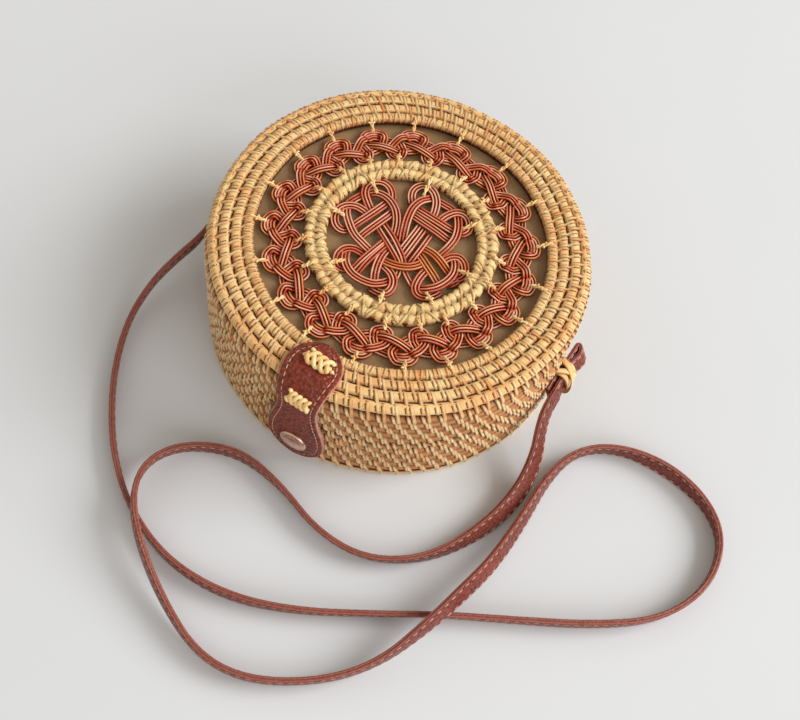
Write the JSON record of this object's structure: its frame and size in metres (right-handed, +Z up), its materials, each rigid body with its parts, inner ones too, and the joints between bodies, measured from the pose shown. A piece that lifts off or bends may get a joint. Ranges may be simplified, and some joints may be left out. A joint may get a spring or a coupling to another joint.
{
  "type": "round rattan bag",
  "caption": "Round box bag of coiled rattan with a hinged lid, a knotted openwork face over a cloth lining, a leather snap tab and a long leather shoulder strap.",
  "frame": {"origin": "middle of the flat underside, on the bag's axis", "axes": "+Z up along the bag's axis, from the back panel to the decorated face; the tab is at -Y, the hinge at +Y and the strap's ends at +X and -X"},
  "size_m": [0.3432, 0.3256, 0.0817],
  "materials": {
    "coiled_rattan": "satin",
    "rattan_ties": "satin",
    "stained_rattan": "satin",
    "lining_cloth": "matte",
    "tab_leather": "satin",
    "strap_leather": "satin",
    "snap_metal": "satin"
  },
  "bodies": {
    "base": {"base_panel": "coiled_rattan", "base_wall": "coiled_rattan", "base_edge_coil": "coiled_rattan", "base_lining_panel": "lining_cloth", "base_lining_wall": "lining_cloth", "snap_post": "snap_metal", "snap_stud": "snap_metal", "strap_end_right": "strap_leather", "strap_end_left": "strap_leather", "strap_lashing_right": "rattan_ties", "strap_lashing_left": "rattan_ties", "shoulder_strap": "strap_leather", "hinge_tab_base": "tab_leather", "hinge_lashing_base": "rattan_ties"},
    "lid": {"lid_edge_coil": "coiled_rattan", "lid_wall": "coiled_rattan", "lid_rim": "coiled_rattan", "lid_face_ring": "coiled_rattan", "lid_eye_coil": "coiled_rattan", "lid_lining_panel": "lining_cloth", "lid_lining_wall": "lining_cloth", "knot_chain": "stained_rattan", "medallion_ring": "coiled_rattan", "centre_knot": "stained_rattan", "outer_ties": "rattan_ties", "inner_ties": "rattan_ties", "centre_ties": "rattan_ties", "flap_root": "tab_leather", "flap_lashing_upper": "rattan_ties", "flap_lashing_lower": "rattan_ties", "hinge_tab_lid": "tab_leather", "hinge_lashing_lid": "rattan_ties"},
    "flap": {"flap_tongue": "tab_leather", "snap_cap": "snap_metal", "snap_socket": "snap_metal"}
  },
  "joints": [
    {"name": "lid_hinge", "type": "hinge", "parent": "base", "child": "lid", "pos_m": [0, 0.1029, 0.03445], "axis": [-1, 0, 0], "range_deg": [0, 110]},
    {"name": "flap_fold", "type": "hinge", "parent": "lid", "child": "flap", "pos_m": [0, -0.1048, 0.06], "axis": [-1, 0, 0], "range_deg": [0, 100]}
  ]
}
